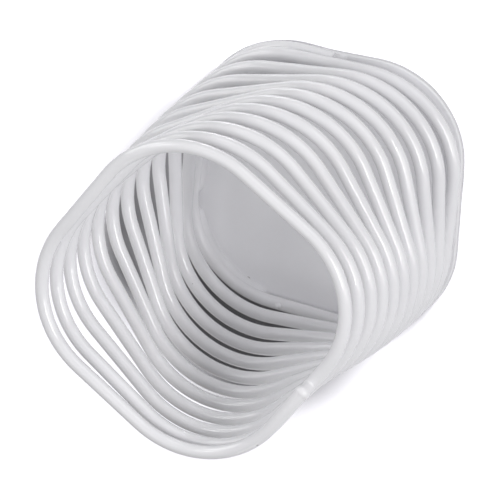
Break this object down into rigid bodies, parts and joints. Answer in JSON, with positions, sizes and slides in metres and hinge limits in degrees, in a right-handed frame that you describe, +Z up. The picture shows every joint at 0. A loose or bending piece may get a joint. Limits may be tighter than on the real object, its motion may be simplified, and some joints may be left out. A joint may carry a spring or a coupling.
{
  "type": "wire desk cup",
  "caption": "Open desk cup for pens or utensils: round wire coiled in rounded squares that twist towards the mouth, welded on a flat base plate, coated white.",
  "frame": {"origin": "centre of the base plate's underside, which rests on the table", "axes": "+Z up through the open mouth; +X and +Y square to the sides of the base plate; the wire's lower end is near the middle of the +X side"},
  "size_m": [0.0962, 0.0965, 0.1101],
  "materials": {
    "wire_coat": "semi-gloss powder coat",
    "plate_coat": "semi-gloss powder coat",
    "weld_coat": "semi-gloss powder coat over a weld bead"
  },
  "bodies": {
    "root": {"wire_turn_01": "wire_coat", "wire_turn_02": "wire_coat", "wire_turn_03": "wire_coat", "wire_turn_04": "wire_coat", "wire_turn_05": "wire_coat", "wire_turn_06": "wire_coat", "wire_turn_07": "wire_coat", "wire_turn_08": "wire_coat", "wire_turn_09": "wire_coat", "wire_turn_10": "wire_coat", "wire_turn_11": "wire_coat", "wire_turn_12": "wire_coat", "base_plate": "plate_coat", "mouth_weld": "weld_coat", "base_welds": "weld_coat"}
  },
  "joints": []
}
